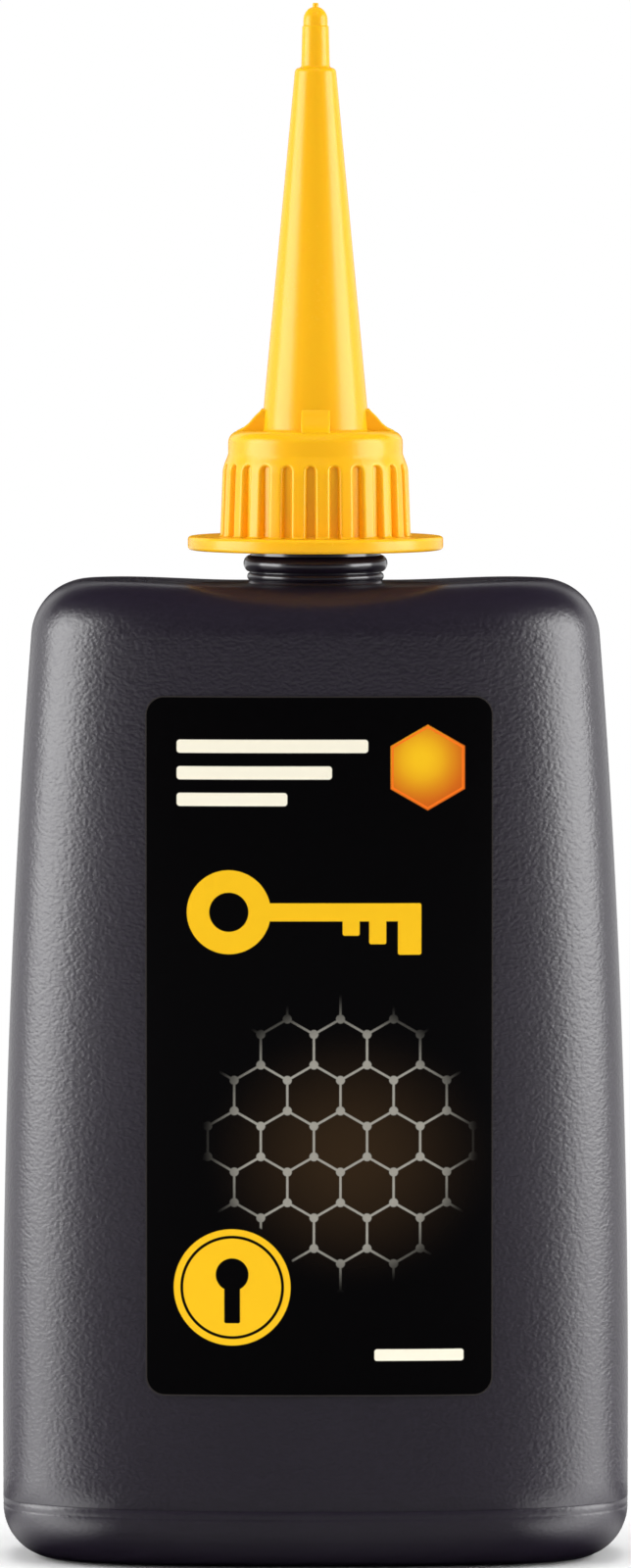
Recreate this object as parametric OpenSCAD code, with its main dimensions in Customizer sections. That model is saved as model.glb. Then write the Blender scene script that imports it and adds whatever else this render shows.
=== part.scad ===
// Squeeze bottle for graphite lock lubricant, with a screw-on spout cap.
// Millimetres. The label faces -Y, +X is to the viewer's right, +Z is up.
// The origin is the middle of the base, on the surface that the bottle stands on.

/* [Bottle body] */
// Width of the body at its base
body_w = 59.8; // [52:0.1:80]
// Depth of the body at its base, front to back
body_d = 27.0; // [25:0.1:40]
// Height of the body, from the base to the flat of the shoulder
body_h = 93.3; // [90:0.1:130]
// How much narrower the body is at the shoulder than at the base
taper_w = 6.5; // [0:0.1:12]
// How much thinner the body is at the shoulder than at the base
taper_d = 1.9; // [0:0.1:4]
// Height at which the sides begin to draw in
taper_start = 15.0; // [8:0.5:30]
// Roundness of the cross-section: 2 is an ellipse, higher is squarer
section_power = 2.8; // [2.4:0.1:4]
// Radius of the edge round the shoulder
shoulder_r = 5.0; // [3:0.1:6]
// Height of the rounding round the base
base_round_h = 5.2; // [4:0.1:8]
// Width of the rounding round the base
base_round_w = 5.0; // [3:0.1:7]
// Thickness of the blown wall
wall = 0.9; // [0.6:0.05:1.4]

/* [Base] */
// Width of the flat rim that the bottle stands on
foot_w = 2.0; // [1.2:0.1:3]
// Depth of the hollow inside that rim
foot_hollow = 1.2; // [0.5:0.1:2]
// How far the mould line lies above the rounding of the base
mould_line_rise = 0.7; // [0.4:0.1:2]

/* [Neck] */
// Height of the neck above the shoulder
neck_h = 12.1; // [11.5:0.1:16]
// Diameter of the neck at the root of its thread
neck_d = 12.4; // [11.6:0.1:13.6]
// Thickness of the neck's wall
neck_wall = 1.4; // [1:0.1:1.8]
// How far the bead under the cap stands out from the neck
bead_out = 0.65; // [0.3:0.05:0.9]
// Height of the bead
bead_h = 1.6; // [1:0.1:1.8]
// How far the ring at the neck's foot stands out
root_ring_out = 0.3; // [0.1:0.05:0.5]
// Height of the ring at the neck's foot
root_ring_h = 0.75; // [0.5:0.05:1]

/* [Screw thread] */
// Distance from one turn of the thread to the next
thread_pitch = 2.5; // [2.2:0.1:3]
// How far the thread stands out from the neck
thread_h = 0.8; // [0.6:0.05:1]
// Number of turns on the neck
neck_turns = 2.0; // [1.5:0.25:2.25]
// Number of turns inside the cap
cap_turns = 1.75; // [1:0.25:2]
// Radial play between the neck and the cap
thread_play = 0.3; // [0.25:0.05:0.4]

/* [Spout cap] */
// Height of the cap, from its lower face to the flat round the spout
skirt_h = 11.3; // [10.5:0.1:12.3]
// Thickness of the drum's wall at the root of its thread
skirt_wall = 1.0; // [0.8:0.05:1.6]
// How much the drum's radius grows from its top down to the flange
drum_draft = 0.1; // [0:0.05:0.3]
// Radius of the drum's upper edge
drum_edge_r = 1.1; // [0.5:0.1:1.5]
// Thickness of the cap's top over the neck
cap_top_t = 1.1; // [0.8:0.1:1.6]
// How far the grip flange reaches out from the drum
flange_reach = 3.75; // [2:0.05:6]
// Thickness of the grip flange
flange_t = 1.3; // [0.8:0.1:2]

/* [Grip ribs] */
// Number of ribs round the drum
rib_count = 24; // [12:1:30]
// Width of a rib at its crest
rib_w = 1.0; // [0.6:0.05:1.3]
// How far a rib stands out from the drum
rib_h = 0.5; // [0.3:0.05:0.8]
// How much further a rib stands out at the flange
rib_draft = 0.16; // [0:0.02:0.3]
// Distance from the flat round the spout down to the ribs' upper ends
rib_drop = 2.1; // [1.6:0.1:3]
// Height over which the ribs' upper ends fade into the drum
rib_fade = 1.9; // [0.5:0.1:3]

/* [Spout] */
// Height of the tapered spout above the cap's flat
spout_h = 34.4; // [25:0.1:50]
// Diameter of the spout at its foot
spout_d = 10.2; // [9:0.1:11]
// Diameter of the spout at its upper end
spout_top_d = 3.95; // [3.5:0.05:5]
// Radius of the spout's upper edge
spout_edge_r = 0.45; // [0.2:0.05:0.6]
// Thickness of the spout's wall at its foot
spout_wall = 1.2; // [0.9:0.05:1.5]
// Thickness of the spout's wall at its upper end
spout_top_wall = 0.95; // [0.7:0.05:1.1]

/* [Closed tip] */
// Length of the tip that is cut off before use
tip_h = 6.15; // [5:0.05:10]
// Diameter of the tip at its foot
tip_d = 2.7; // [2.4:0.05:3]
// Thickness of the wall round the tip's channel
tip_wall = 0.8; // [0.6:0.05:0.9]
// Thickness of the plastic that closes the tip
tip_end = 1.7; // [1.2:0.1:2.5]

/* [Gussets] */
// Number of gussets at the foot of the spout
gusset_count = 4; // [2:1:6]
// Thickness of a gusset
gusset_w = 2.7; // [1.5:0.1:3.5]
// Height of a gusset on the spout
gusset_h = 2.1; // [1:0.1:4]
// Distance from a gusset's outer end to the side of the drum
gusset_inset = 0.8; // [0.6:0.1:1.6]

/* [Sealing washer] */
// Thickness of the washer between the neck and the cap
washer_t = 1.0; // [0.6:0.1:1.6]
// Play between the washer and the inside of the cap
washer_play = 0.2; // [0.15:0.05:0.3]
// How far the washer's hole is smaller than the neck's bore, in radius
washer_lap = 0.2; // [0:0.05:0.4]

/* [Labels] */
// Width of the front label
label_w = 32.7; // [24:0.1:36]
// Height of the front label
label_h = 66.0; // [40:0.5:68]
// Height of the front label's lower edge
label_z = 16.9; // [14:0.1:19]
// How far the front label sits right of the middle
label_shift = 0.35; // [-1:0.05:1]
// Radius of the labels' corners
label_corner_r = 1.8; // [1:0.1:4]
// Thickness of a label
label_t = 0.15; // [0.1:0.01:0.3]
// Width of the back label
back_label_w = 32.7; // [24:0.1:36]
// Height of the back label
back_label_h = 56.0; // [40:0.5:62]
// Height of the back label's lower edge
back_label_z = 21.9; // [14:0.1:24]

/* [Contents] */
// Height of the powder's surface above the base
powder_level = 72.0; // [30:1:80]

/* [Hidden] */

// Sides and steps of the curved skins
outer_sides = 64;
inner_sides = 48;
side_steps = 8;
base_steps = 5;
shoulder_steps = 6;
label_columns = 12;
label_rows = 9;
corner_steps = 4;
thread_sides = 30;
arc_steps = 6;
round_fn = 96;

// Clearances and overlaps
label_gap = 0.05;
powder_gap = 0.3;
overrun = 1.0;
sink = 0.4;
thread_sink = 0.3;

// The mould line is a fine V cut round the body
mould_line_z = base_round_h + mould_line_rise;
mould_line_depth = 0.12;
mould_line_half = 0.25;

// Neck
neck_r = neck_d / 2;
bore_r = neck_r - neck_wall;
rim_z = body_h + neck_h;
rim_edge = 0.35;
bead_clear = 0.05;
bead_z = body_h + root_ring_h + bead_clear + bead_h / 2;
cavity_floor = foot_hollow + wall;
cavity_top = body_h - wall;

// Thread: distance from its last turn's middle to the rim, widths of the ridges as
// shares of the pitch, and the share of each ridge over which its ends fade
thread_top_gap = 1.2;
neck_root_share = 0.58;
neck_crest_share = 0.26;
cap_root_share = 0.5;
cap_crest_share = 0.24;
fade_share = 0.12;
neck_thread_z = rim_z - thread_top_gap - thread_pitch * neck_turns;
cap_thread_z = neck_thread_z - thread_pitch / 2;

// Cap: heights worked up from the neck's rim, radii worked out from its thread
cap_inner_r = neck_r + thread_h + thread_play;
cap_under_z = rim_z + washer_t;
cap_flat_z = cap_under_z + cap_top_t;
cap_low_z = cap_flat_z - skirt_h;
flange_top_z = cap_low_z + flange_t;
drum_r = cap_inner_r + skirt_wall;
drum_foot_r = drum_r + drum_draft;
flange_r = drum_foot_r + flange_reach;
flange_edge = 0.3;
mouth_chamfer = 0.4;

// Ribs: where the first one stands right of the front, as a share of the step between
// two; how much wider a rib is at its root on each side; and how far it stands out
// along its fading upper end, in shares of that end's height and of rib_h
rib_turn_share = 0.3;
rib_flank = 0.15;
rib_fade_shares = [[0, 1], [0.32, 0.78], [0.7, 0.45], [1, 0]];
rib_top_z = cap_flat_z - rib_drop;

// Spout and its closed tip, which ends in a small moulding nub
spout_r = spout_d / 2;
spout_top_r = spout_top_d / 2;
spout_top_z = cap_flat_z + spout_h;
tip_r = tip_d / 2;
tip_top_z = spout_top_z + tip_h;
tip_fillet = 0.25;
tip_draft = 0.09;
tip_step = 0.1;
tip_step_drop = 2.2;
dome_r = tip_r - tip_draft - tip_step;
dome_h = 1.3;
nub_r = 0.28;
nub_rise = 0.35;
nub_chamfer = 0.12;
dome_z = tip_top_z - nub_rise - dome_h;

// Outline of a gusset from the spout to its outer end, in shares of its reach and height
gusset_shares = [[0, 1], [0.09, 0.87], [0.26, 0.69], [0.4, 0.51], [0.52, 0.34], [0.71, 0.16], [1, 0]];
gusset_end_r = drum_r - gusset_inset;

// Washer
washer_r = cap_inner_r - washer_play;
washer_hole_r = bore_r - washer_lap;

// Half width and half depth of the body at a height z
function drawn_in(z) = pow(max(0, z - taper_start) / (body_h - taper_start), 2);
function half_w(z) = (body_w - taper_w * drawn_in(z)) / 2;
function half_d(z) = (body_d - taper_d * drawn_in(z)) / 2;

// Radius of the unit superellipse in one direction
function unit_radius(turn) =
    pow(pow(abs(cos(turn)), section_power) + pow(abs(sin(turn)), section_power), -1 / section_power);

// Ring of points on the body's cross-section at a height z, drawn in by an inset
function body_ring(z, inset, sides) = [
    for (k = [0 : sides - 1])
        let (turn = 360 * k / sides, r = unit_radius(turn))
        [(half_w(z) - inset) * r * cos(turn), (half_d(z) - inset) * r * sin(turn), z]
];

// Distance from the middle plane to the body's front or back at x and z
function body_front(x, z) =
    half_d(z) * pow(1 - pow(abs(x) / half_w(z), section_power), 1 / section_power);

// Heights and insets up a skin that lies t inside the body: base rounding, sides, shoulder
function base_path(t, floor_z) = [
    for (i = [0 : base_steps])
        let (turn = 90 * i / base_steps)
        [
            floor_z + (base_round_h - floor_z) * (1 - cos(turn)),
            t + (base_round_w - t) * (1 - sin(turn))
        ]
];
function side_path(t) = [
    for (i = [1 : side_steps - 1])
        [base_round_h + (body_h - shoulder_r - base_round_h) * i / side_steps, t]
];
function shoulder_path(t) = [
    for (i = [0 : shoulder_steps])
        let (turn = 90 * i / shoulder_steps)
        [
            body_h - shoulder_r + (shoulder_r - t) * sin(turn),
            t + (shoulder_r - t) * (1 - cos(turn))
        ]
];

// Closed loft through rings of equal length, capped at both ends
module loft(rings) {
    n = len(rings[0]);
    last = len(rings) - 1;
    polyhedron(
        points = [for (ring = rings) each ring],
        faces = concat(
            [[for (k = [0 : n - 1]) k]],
            [
                for (i = [0 : last - 1], k = [0 : n - 1])
                    let (a = i * n + k, b = i * n + (k + 1) % n)
                    each [[a, a + n, b], [b, a + n, b + n]]
            ],
            [[for (k = [n - 1 : -1 : 0]) last * n + k]]
        ),
        convexity = 8
    );
}

module turned(outline) {
    rotate_extrude($fn = round_fn)
        polygon(outline);
}

// Points on part of an ellipse in the plane of a turned outline
function arc(r_mid, z_mid, r_half, z_half, from, to) = [
    for (i = [0 : arc_steps])
        let (turn = from + (to - from) * i / arc_steps)
        [r_mid + r_half * cos(turn), z_mid + z_half * sin(turn)]
];

// Ridge of a screw thread: a section of four points carried along a helix. The crest
// sinks below the root's surface at both ends, so the ridge runs in and out smoothly
module ridge(turns, start_z, root_r, crest_r, root_w, crest_w) {
    out = sign(crest_r - root_r);
    hidden_r = root_r - out * thread_sink;
    low_r = root_r - out * thread_sink / 2;
    steps = round(turns * thread_sides);
    loft([
        for (i = [0 : steps])
            let (
                share = i / steps,
                turn = 360 * turns * share,
                z = start_z + thread_pitch * turns * share,
                full = min(1, share / fade_share, (1 - share) / fade_share),
                tip = low_r + (crest_r - low_r) * full,
                inner = min(hidden_r, tip),
                outer = max(hidden_r, tip),
                inner_half = (out > 0 ? root_w : crest_w) / 2,
                outer_half = (out > 0 ? crest_w : root_w) / 2
            )
            [
                for (p = [
                    [inner, -inner_half],
                    [inner, inner_half],
                    [outer, outer_half],
                    [outer, -outer_half]
                ])
                    [p[0] * cos(turn), p[0] * sin(turn), z + p[1]]
            ]
    ]);
}

module body_skin() {
    foot = [
        [foot_hollow, base_round_w + foot_w + foot_hollow],
        [0, base_round_w + foot_w]
    ];
    mould_line = [
        [mould_line_z - mould_line_half, 0],
        [mould_line_z, mould_line_depth],
        [mould_line_z + mould_line_half, 0]
    ];
    path = concat(foot, base_path(0, 0), mould_line, side_path(0), shoulder_path(0));
    loft([for (p = path) body_ring(p[0], p[1], outer_sides)]);
}

module cavity() {
    path = concat(base_path(wall, cavity_floor), side_path(wall), shoulder_path(wall));
    loft([for (p = path) body_ring(p[0], p[1], inner_sides)]);
}

module neck_blank() {
    turned(concat(
        [[0, body_h - wall / 2], [neck_r, body_h - wall / 2]],
        arc(neck_r, body_h + root_ring_h / 2, root_ring_out, root_ring_h / 2, -90, 90),
        arc(neck_r, bead_z, bead_out, bead_h / 2, -90, 90),
        [[neck_r, rim_z - rim_edge], [neck_r - rim_edge, rim_z], [0, rim_z]]
    ));
}

module bottle() {
    color("#2b2830")
    difference() {
        union() {
            body_skin();
            neck_blank();
            ridge(
                neck_turns, neck_thread_z, neck_r, neck_r + thread_h,
                thread_pitch * neck_root_share, thread_pitch * neck_crest_share
            );
        }
        cavity();
        translate([0, 0, cavity_top - overrun])
            cylinder(r = bore_r, h = rim_z - cavity_top + 2 * overrun, $fn = round_fn);
    }
}

module cap_outside() {
    turned(concat(
        [[0, cap_low_z]],
        arc(flange_r - flange_edge, cap_low_z + flange_edge, flange_edge, flange_edge, -90, 0),
        arc(flange_r - flange_edge, flange_top_z - flange_edge, flange_edge, flange_edge, 0, 90),
        [[drum_foot_r, flange_top_z]],
        arc(drum_r - drum_edge_r, cap_flat_z - drum_edge_r, drum_edge_r, drum_edge_r, 0, 90),
        [[spout_r, cap_flat_z]],
        arc(spout_top_r - spout_edge_r, spout_top_z - spout_edge_r, spout_edge_r, spout_edge_r, 0, 90),
        [
            [tip_r + tip_fillet, spout_top_z],
            [tip_r, spout_top_z + tip_fillet],
            [tip_r - tip_draft, tip_top_z - tip_step_drop],
            [dome_r, tip_top_z - tip_step_drop]
        ],
        arc(0, dome_z, dome_r, dome_h, 0, acos(nub_r / dome_r)),
        [[nub_r, tip_top_z - nub_chamfer], [nub_r - nub_chamfer, tip_top_z], [0, tip_top_z]]
    ));
}

module cap_inside() {
    channel_r = spout_r - spout_wall;
    channel_top_r = spout_top_r - spout_top_wall;
    tip_channel_r = tip_r - tip_wall;
    channel_top_z = spout_top_z - spout_top_wall;
    turned([
        [0, cap_low_z - overrun],
        [cap_inner_r + mouth_chamfer + overrun, cap_low_z - overrun],
        [cap_inner_r, cap_low_z + mouth_chamfer],
        [cap_inner_r, cap_under_z],
        [channel_r, cap_under_z],
        [channel_top_r, channel_top_z],
        [tip_channel_r, spout_top_z],
        [tip_channel_r, tip_top_z - tip_end],
        [0, tip_top_z - tip_end]
    ]);
}

module grip_ribs() {
    crest_r = drum_r + rib_h;
    inner_r = drum_r - sink;
    low_z = flange_top_z - sink;
    intersection() {
        turned(concat(
            [[inner_r, low_z], [crest_r + rib_draft, low_z]],
            [
                for (s = rib_fade_shares)
                    [drum_r + rib_h * s[1], rib_top_z - rib_fade * (1 - s[0])]
            ],
            [[inner_r, rib_top_z]]
        ));
        union() {
            for (k = [0 : rib_count - 1])
                rotate([0, 0, 360 * (k + rib_turn_share) / rib_count - 90])
                translate([0, 0, low_z - overrun])
                linear_extrude(height = rib_top_z - low_z + 2 * overrun)
                polygon([
                    [inner_r - overrun, -rib_w / 2 - rib_flank],
                    [drum_r, -rib_w / 2 - rib_flank],
                    [crest_r, -rib_w / 2],
                    [crest_r + overrun, -rib_w / 2],
                    [crest_r + overrun, rib_w / 2],
                    [crest_r, rib_w / 2],
                    [drum_r, rib_w / 2 + rib_flank],
                    [inner_r - overrun, rib_w / 2 + rib_flank]
                ]);
        }
    }
}

module gussets() {
    for (k = [0 : gusset_count - 1])
        rotate([0, 0, 360 * k / gusset_count - 90])
        rotate([90, 0, 0])
        linear_extrude(height = gusset_w, center = true)
        polygon(concat(
            [[spout_r - sink, cap_flat_z - sink], [spout_r - sink, cap_flat_z + gusset_h]],
            [
                for (s = gusset_shares)
                    [spout_r + (gusset_end_r - spout_r) * s[0], cap_flat_z + gusset_h * s[1]]
            ],
            [[gusset_end_r, cap_flat_z - sink]]
        ));
}

module spout_cap() {
    color("#fbb91d") {
        difference() {
            union() {
                cap_outside();
                grip_ribs();
                gussets();
            }
            cap_inside();
        }
        ridge(
            cap_turns, cap_thread_z, cap_inner_r, neck_r + thread_play,
            thread_pitch * cap_root_share, thread_pitch * cap_crest_share
        );
    }
}

module sealing_washer() {
    color("#e9e6df")
    translate([0, 0, rim_z])
    difference() {
        cylinder(r = washer_r, h = washer_t, $fn = round_fn);
        translate([0, 0, -overrun])
            cylinder(r = washer_hole_r, h = washer_t + 2 * overrun, $fn = round_fn);
    }
}

// Heights and half widths up a label with rounded corners, from its lower edge
function label_outline(w, h) = concat(
    [
        for (i = [0 : corner_steps])
            let (turn = 90 * i / corner_steps)
            [label_corner_r * (1 - cos(turn)), w / 2 - label_corner_r * (1 - sin(turn))]
    ],
    [
        for (i = [1 : label_rows - 1])
            [label_corner_r + (h - 2 * label_corner_r) * i / label_rows, w / 2]
    ],
    [
        for (i = [0 : corner_steps])
            let (turn = 90 * i / corner_steps)
            [h - label_corner_r * (1 - sin(turn)), w / 2 - label_corner_r * (1 - cos(turn))]
    ]
);

// Thin sheet that follows the body's front, one ring of points for each height
module label_sheet(w, h, low_z, shift) {
    loft([
        for (p = label_outline(w, h))
            let (z = low_z + p[0])
            concat(
                [
                    for (j = [0 : label_columns])
                        let (x = shift + p[1] * (2 * j / label_columns - 1))
                        [x, -body_front(x, z) - label_gap - label_t, z]
                ],
                [
                    for (j = [label_columns : -1 : 0])
                        let (x = shift + p[1] * (2 * j / label_columns - 1))
                        [x, -body_front(x, z) - label_gap, z]
                ]
            )
    ]);
}

module front_label() {
    color("#0d0b0b")
        label_sheet(label_w, label_h, label_z, label_shift);
}

module back_label() {
    color("#0d0b0b")
    rotate([0, 0, 180])
        label_sheet(back_label_w, back_label_h, back_label_z, 0);
}

module graphite_powder() {
    t = wall + powder_gap;
    path = concat(
        base_path(t, cavity_floor + powder_gap),
        [for (p = side_path(t)) if (p[0] < powder_level) p],
        [[powder_level, t]]
    );
    color("#3c3d42")
        loft([for (p = path) body_ring(p[0], p[1], inner_sides)]);
}

bottle();
spout_cap();
sealing_washer();
front_label();
back_label();
graphite_powder();
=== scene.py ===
"""Dressed model of a squeeze bottle for graphite lock lubricant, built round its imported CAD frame.

The label faces -Y, +X is to the viewer's right and +Z is up, in metres. Every piece is a
surface worked out with numpy from the sizes below, and stands in for one CAD node.
"""

import math

import bpy
import numpy as np
from bpy.props import FloatProperty, FloatVectorProperty, PointerProperty
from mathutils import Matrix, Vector


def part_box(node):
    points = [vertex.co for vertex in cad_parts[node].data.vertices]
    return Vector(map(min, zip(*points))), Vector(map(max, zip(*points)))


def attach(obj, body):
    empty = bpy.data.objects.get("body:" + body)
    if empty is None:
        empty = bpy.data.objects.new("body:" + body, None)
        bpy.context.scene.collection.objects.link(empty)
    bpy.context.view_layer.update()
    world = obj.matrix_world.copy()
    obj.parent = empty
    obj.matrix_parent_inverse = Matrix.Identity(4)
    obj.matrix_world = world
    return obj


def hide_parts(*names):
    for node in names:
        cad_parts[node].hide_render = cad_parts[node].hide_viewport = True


bl_info = {
    "name": "Graphite Lock Lubricant Bottle",
    "version": (1, 0, 0),
    "blender": (4, 5, 0),
    "location": "View3D > Sidebar > Bottle",
    "description": "Builds a squeeze bottle for graphite powder with a screw-on spout cap",
    "category": "Add Mesh",
}

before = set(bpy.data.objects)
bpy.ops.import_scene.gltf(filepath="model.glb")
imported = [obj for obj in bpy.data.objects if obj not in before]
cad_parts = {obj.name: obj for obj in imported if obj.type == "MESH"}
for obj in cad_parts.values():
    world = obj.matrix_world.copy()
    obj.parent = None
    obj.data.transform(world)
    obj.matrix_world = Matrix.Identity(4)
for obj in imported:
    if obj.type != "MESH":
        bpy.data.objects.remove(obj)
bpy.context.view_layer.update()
LABEL_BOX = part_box("front_label")
BACK_LABEL_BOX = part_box("back_label")
CAP_LOW, CAP_HIGH = (corner.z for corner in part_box("spout_cap"))
POWDER_LOW, POWDER_HIGH = (corner.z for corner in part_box("graphite_powder"))

MM = 0.001
SHARP_EDGE = math.radians(38)

# Body: its section, its foot, and the small forms that the moulds leave on it
BODY_COLUMNS = 232
SECTION_POWER = 2.8
FOOT_WIDTH = 2.0 * MM
FOOT_HOLLOW = 1.2 * MM
HOLLOW_SPREAD = 2.2  # width of the hollow's slope over its depth
MOULD_LINE_Z = 5.9 * MM
MOULD_LINE_DEPTH = 0.08 * MM
SECOND_LINE_Z = 5.15 * MM
SECOND_LINE_DEPTH = 0.04 * MM
MOULD_LINE_HALF = 0.15 * MM
SHOULDER_RISE = 0.15 * MM
SHOULDER_SAG = 0.42 * MM
SAG_START = 20 * MM
SAG_REACH = 13 * MM
PARTING_RISE = 0.07 * MM
PARTING_HALF = 0.16 * MM
PARTING_REACH = 3.0 * MM
PARTING_TURNS = (0.003, 0.006, 0.0095, 0.0125, 0.018, 0.025)  # of the close columns on either side
PARTING_CLEAR = 0.034  # turn within which no even column stands

# Neck and both threads, whose widths are the root's and the crest's over the pitch
NECK_RADIUS = 6.2 * MM
NECK_WALL = 1.4 * MM
BORE_RADIUS = NECK_RADIUS - NECK_WALL
ROOT_RING_OUT = 0.3 * MM
ROOT_RING_HEIGHT = 0.75 * MM
ROOT_RING_FOOT = 0.6 * ROOT_RING_OUT  # where the shoulder runs into it
BEAD_OUT = 0.65 * MM
BEAD_HEIGHT = 1.6 * MM
BEAD_CLEAR = 0.05 * MM
RIM_EDGE = 0.35 * MM
THREAD_PITCH = 2.5 * MM
THREAD_HEIGHT = 0.8 * MM
THREAD_LOW_GAP = 0.1 * MM
THREAD_TOP_GAP = 1.2 * MM
THREAD_ROW = 0.12 * MM
THREAD_FADE = 0.12  # share of its length at either end
THREAD_PLAY = 0.3 * MM
NECK_TURNS = 2.0
CAP_TURNS = 1.75
NECK_THREAD_WIDTHS = (0.58, 0.26)
CAP_THREAD_WIDTHS = (0.5, 0.24)

# Washer
WASHER_THICKNESS = 1.0 * MM
WASHER_CLEAR = 0.2 * MM
WASHER_EDGE = 0.25 * MM

# Cap: skirt, drum and flange
CAP_COLUMNS = 576
CAP_INNER = NECK_RADIUS + THREAD_HEIGHT + THREAD_PLAY
SKIRT_WALL = 1.0 * MM
ROOF_FILLET = 0.2 * MM
MOUTH_CHAMFER = 0.4 * MM
CAP_TOP = 1.1 * MM
DRUM_RADIUS = CAP_INNER + SKIRT_WALL
DRUM_DRAFT = 0.1 * MM
DRUM_EDGE = 1.1 * MM
FLANGE_TOP = CAP_LOW + 1.3 * MM
FLANGE_EDGE = 0.3 * MM
FLANGE_ROW = 1.2 * MM
FOOT_FILLET = 0.25 * MM

# Cap: ribs and the grooves between them
RIB_COUNT = 24
RIB_TURN = math.radians(4.5)
RIB_DROP = 2.1 * MM
RIB_SWELL = 1.9 * MM
RIB_SWELL_POWER = 1.4
RIB_DRAFT = 0.16 * MM
GROOVE_DROP = 1.1 * MM
GROOVE_HALF = 0.38 * MM
GROOVE_ROUND = 0.36 * MM
GROOVE_POWER = 2.6

# Cap: spout, tip and the nub that its moulding leaves
SPOUT_EDGE = 0.45 * MM
SPOUT_WALL = 1.2 * MM
SPOUT_TOP_WALL = 0.95 * MM
SPOUT_FOOT_RISE = 1.2 * MM
SPOUT_FOOT_SHARE = 0.985
SPOUT_TOP = CAP_HIGH - 6.15 * MM
TIP_RADIUS = 1.35 * MM
TIP_FILLET = 0.25 * MM
TIP_DRAFT = 0.09 * MM
TIP_STEP = 0.1 * MM
TIP_STEP_Z = CAP_HIGH - 2.2 * MM
TIP_WALL = 0.8 * MM
TIP_END = CAP_HIGH - 1.7 * MM
DOME_HEIGHT = 1.3 * MM
NUB_RADIUS = 0.28 * MM
NUB_RISE = 0.35 * MM
NUB_EDGE = 0.12 * MM

# Cap: gussets round the spout's foot, and the height of their back along its way out
GUSSET_WIDTH = 2.7 * MM
GUSSET_HEIGHT = 2.1 * MM
GUSSET_EDGE = 0.22 * MM
GUSSET_INSET = 0.8 * MM
GUSSET_ROOT = 0.9 * MM  # depth into the spout
GUSSET_SUNK = 0.35 * MM  # depth into the flat
GUSSET_SHARES = ((0, 1), (0.09, 0.87), (0.26, 0.69), (0.4, 0.51), (0.52, 0.34), (0.71, 0.16), (1, 0))

# Labels and powder
LABEL_GAP = 0.05 * MM
LABEL_FILM = 0.15 * MM
POWDER_GAP = 0.3 * MM
POWDER_SHORE = POWDER_HIGH - 1.2 * MM
POWDER_HEAP = 1.1 * MM

# Bottle's finish: heights in millimetres between which its grain, or its neck's gloss, comes or goes
GRAIN_FOOT = (1.5, 4.5)
GRAIN_LINE = (5.8, 6.6)
GRAIN_SHOULDER = (92.0, 88.5)
GLOSS_NECK = (93.2, 93.6)

# Print, in millimetres across from the label's middle and up from the ground. A bar and the
# slot end in their half sizes and corner, as the back's border does, and a key in its size
SOFT_EDGE = 0.05
CUT_COLOUR = (0.035, 0.030, 0.028)
HAZE_PLACE = (2.6, 39.6)
HAZE_RADIUS = 13.0
HAZE_COLOUR = (0.040, 0.022, 0.009)
COMB_PLACE = (2.0, 41.0)
COMB_PITCH = 5.0
COMB_MIDDLE = (2.1, 40.8)
COMB_FADE = (14.2, 9.0)
COMB_COLOUR = (0.50, 0.48, 0.42)
GEM_PLACE = (10.2, 76.2)
GEM_APOTHEM = 3.5
GEM_LIGHT = (9.6, 77.0)
FRONT_KEY = (-0.9, 62.6, 1.0)
FRONT_BARS = ((-4.4, 78.2, 9.0, 0.62, 0.3), (-6.1, 75.7, 7.3, 0.62, 0.3), (-8.2, 73.2, 5.2, 0.62, 0.3),
              (9.4, 20.8, 4.2, 0.55, 0.25))
BADGE_PLACE = (-8.2, 27.2)
BADGE_RADIUS = 5.5
BADGE_RING = 4.75
BADGE_CLEAR = (6.1, 6.3)
KEYHOLE_PLACE = (-8.2, 28.4)
KEYHOLE_RADIUS = 1.55
KEYHOLE_SLOT = (-8.2, 26.0, 0.75, 2.2, 0.2)
BACK_BORDER = (14.6, 26.2, 1.2)
BACK_KEY = (-0.6, 69.5, 0.62)
BACK_HALF = 11.9
BACK_PITCH = 3.4
BACK_ROW_Z = 29.4

# Camera, as found by fitting it to the photograph's outline
CAMERA_PLACE = Vector((0.0, -0.8997, 0.1302))
CAMERA_AIM = Vector((0.0, 0.0, 0.07385))
CAMERA_LENS = 217.2
SENSOR = 36.0

# Studio: places and sizes in metres, and levels and radiances of which 1 is white
WORLD_LEVEL = 0.35
FLOOR_COLOUR = (0.93, 0.93, 0.93)
SIDE_PLACE = (0.353, -0.069, 0.17)
SIDE_AIM = (0, 0, 0.13)
SIDE_SIZE = (0.28, 0.32)
SIDE_RADIANCE = 5.6
TOP_PLACE = (0, 0.3, 0.7)
TOP_AIM = (0, 0, 0.1)
TOP_SIZE = (0.5, 0.5)
TOP_RADIANCE = 2.0
# Flags: cards that glow and that only reflections show, painting the bottle's reflections; the level of
# their glow, its gain to the sides and its least
FLAG_OVER = ((1.5, -1.3, 0.002), (1.5, -1.3, 0.75), (1.5, 0.9, 0.75))
FLAG_FRONT = ((0.33, -0.28, 0.001), (1.5, -1.3, 0.002))
FLAG_BACK = ((-0.45, 1.3, 0.002), (-0.45, 1.3, 0.75))
FLAG_LEVEL = 0.52
FLAG_SIDES = 0.9
FLAG_DARK = 0.015
# Sheet: strength of its glow, which paints the side lamps' bands onto the base, its dim front, and the
# painted shade by the base's ends
SHEET_GLOW = 3.4
SHEET_FRONT = 0.17
SHEET_END = 0.48
SHEET_RADIUS = 0.3
SHEET_Z = 0.0002
SHEET_CORNER = 9.0


def length(name, note, default):
    """Property for a length in metres."""
    return FloatProperty(
        name=name, description=note, default=default, unit="LENGTH", subtype="DISTANCE", precision=5
    )


def colour(name, note, default):
    """Property for a colour in linear values."""
    return FloatVectorProperty(
        name=name, description=note, default=default, size=3, min=0, max=1, subtype="COLOR"
    )


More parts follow.
